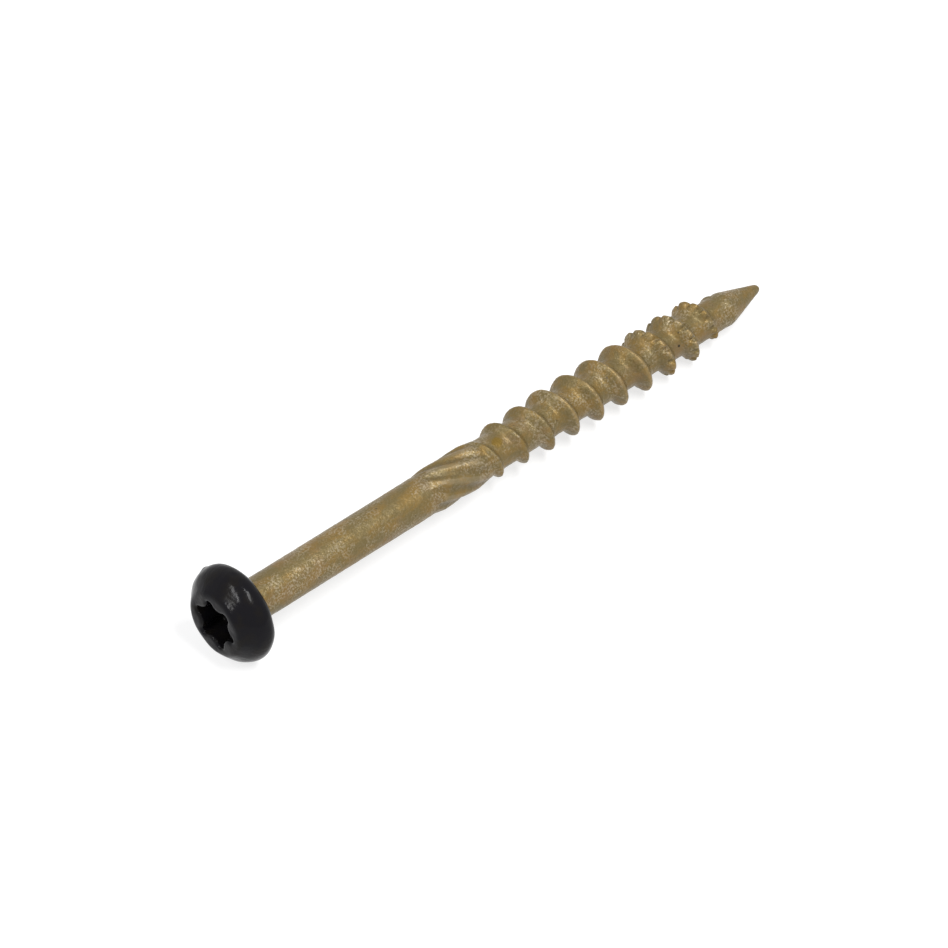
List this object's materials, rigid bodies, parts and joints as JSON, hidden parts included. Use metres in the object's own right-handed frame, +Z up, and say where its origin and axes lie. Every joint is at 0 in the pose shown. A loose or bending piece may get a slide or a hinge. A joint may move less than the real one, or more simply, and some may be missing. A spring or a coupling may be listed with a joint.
{
  "type": "facade screw",
  "caption": "Facade screw with a round black painted head, a six lobe recess, a plain shank with slanting milling ribs, and a coarse coated thread that is serrated near its point.",
  "frame": {"origin": "centre of the head's bearing face, on the screw's axis", "axes": "the screw lies on its side as it rests: +X is level and runs from the head towards the point, +Z is up, and the screw's axis leans 2.17 degrees below +X, so that the rim of the head and the last full turn of the thread touch the floor"},
  "size_m": [0.0634, 0.0088, 0.0089],
  "materials": {
    "coated_steel": "satin khaki coating over steel, with a semi-gloss black painted head"
  },
  "bodies": {
    "root": {"screw": "coated_steel"}
  },
  "joints": []
}
